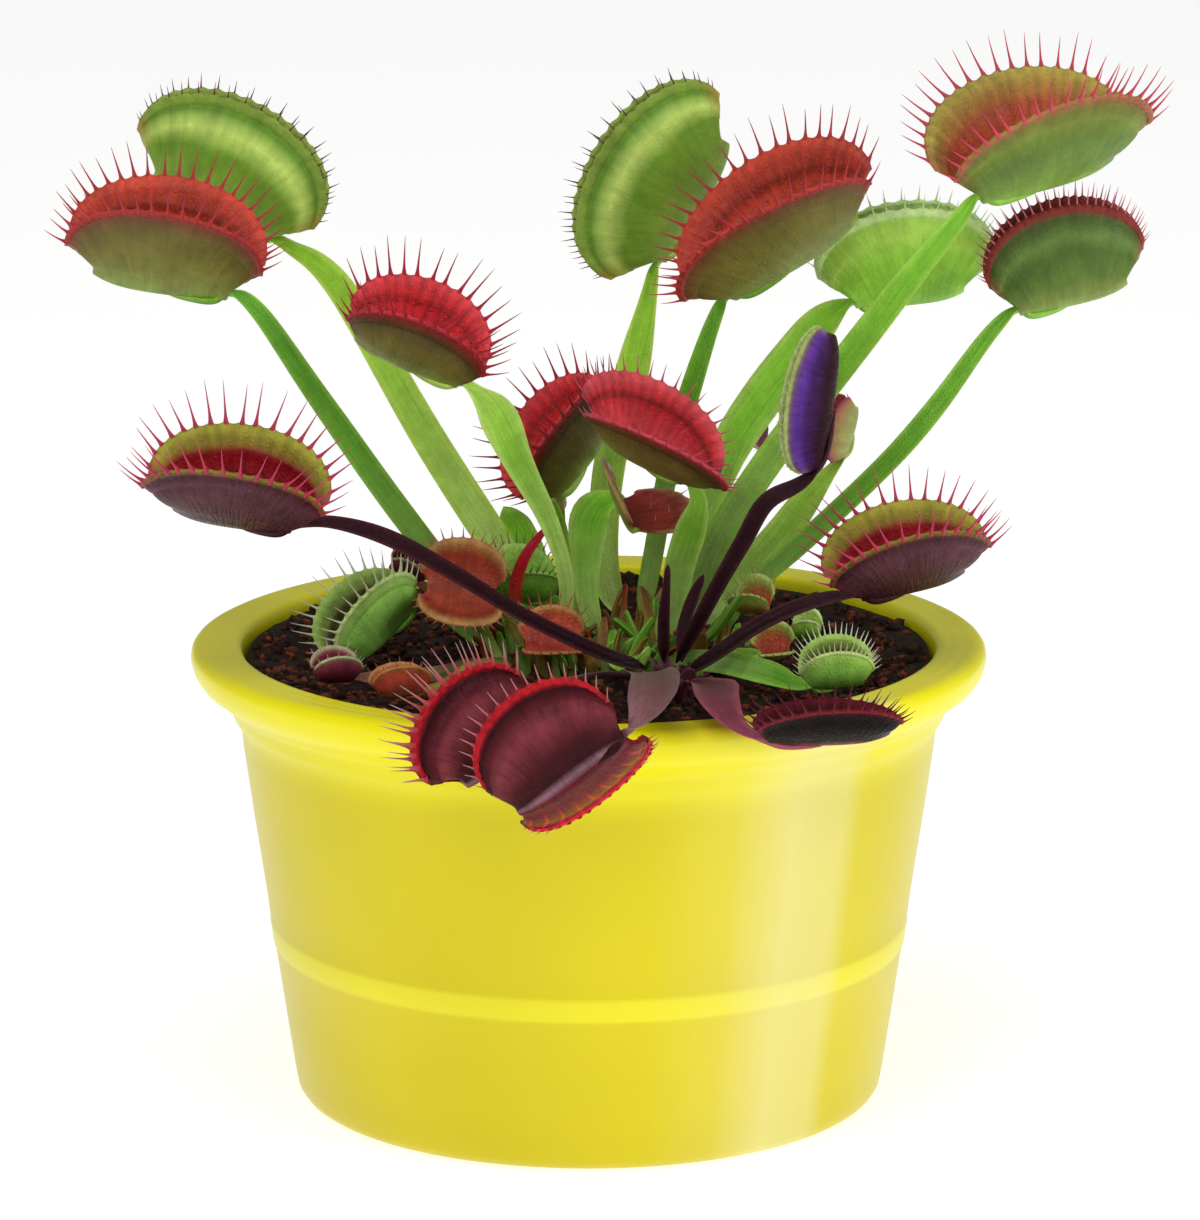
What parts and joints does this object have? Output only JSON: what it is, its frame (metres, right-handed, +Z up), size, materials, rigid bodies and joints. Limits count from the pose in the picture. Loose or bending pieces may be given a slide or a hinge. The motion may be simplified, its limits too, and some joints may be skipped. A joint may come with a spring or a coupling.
{
  "type": "potted venus flytrap",
  "caption": "Potted venus flytrap: winged stalks carrying hinged toothed traps, green with red insides and dark maroon, in a flanged round pot of soil.",
  "frame": {"origin": "centre of the pot's flat foot, on the plane it stands on", "axes": "+Z up out of the pot along its axis and -Z out of the foot; -Y is the front, over which the dark leaves hang; +X is to the right seen from the front"},
  "size_m": [0.1662, 0.1431, 0.1611],
  "materials": {
    "pot": "gloss",
    "soil": "matte",
    "crown_green": "satin",
    "crown_dark": "satin",
    "leaf_green": "satin",
    "leaf_red": "satin",
    "leaf_dark": "satin"
  },
  "bodies": {
    "root": {"pot": "pot", "soil": "soil", "green_crown": "crown_green", "dark_crown": "crown_dark", "leaf_tall_left_back": "leaf_green", "leaf_tall_left": "leaf_green", "leaf_mid_left": "leaf_green", "leaf_mid_centre": "leaf_green", "leaf_mid_right": "leaf_green", "leaf_low_centre": "leaf_green", "leaf_tall_back": "leaf_green", "leaf_tall_centre": "leaf_green", "leaf_winged_right": "leaf_green", "leaf_tallest_right": "leaf_green", "leaf_far_right": "leaf_green", "leaf_small_right_back": "leaf_green", "leaf_bud_back": "leaf_green", "leaf_olive_bud": "leaf_green", "leaf_blade_left": "leaf_green", "leaf_blade_front": "leaf_green", "leaf_blade_right": "leaf_green", "leaf_red_slender": "leaf_red", "leaf_low_left": "leaf_green", "leaf_low_left_red": "leaf_red", "leaf_low_front_red": "leaf_red", "leaf_low_mid": "leaf_green", "leaf_low_purple": "leaf_red", "leaf_low_far_left": "leaf_red", "leaf_low_brown": "leaf_red", "leaf_low_right_back": "leaf_green", "leaf_low_right": "leaf_green", "leaf_low_pale": "leaf_green", "leaf_low_far_right": "leaf_green", "dark_leaf_left": "leaf_dark", "dark_leaf_upright": "leaf_dark", "dark_leaf_right": "leaf_dark", "dark_leaf_front_left": "leaf_dark", "dark_leaf_front": "leaf_dark", "dark_leaf_front_right": "leaf_dark", "dark_leaf_bud": "leaf_dark", "dark_leaf_slender": "leaf_dark"}
  },
  "joints": []
}
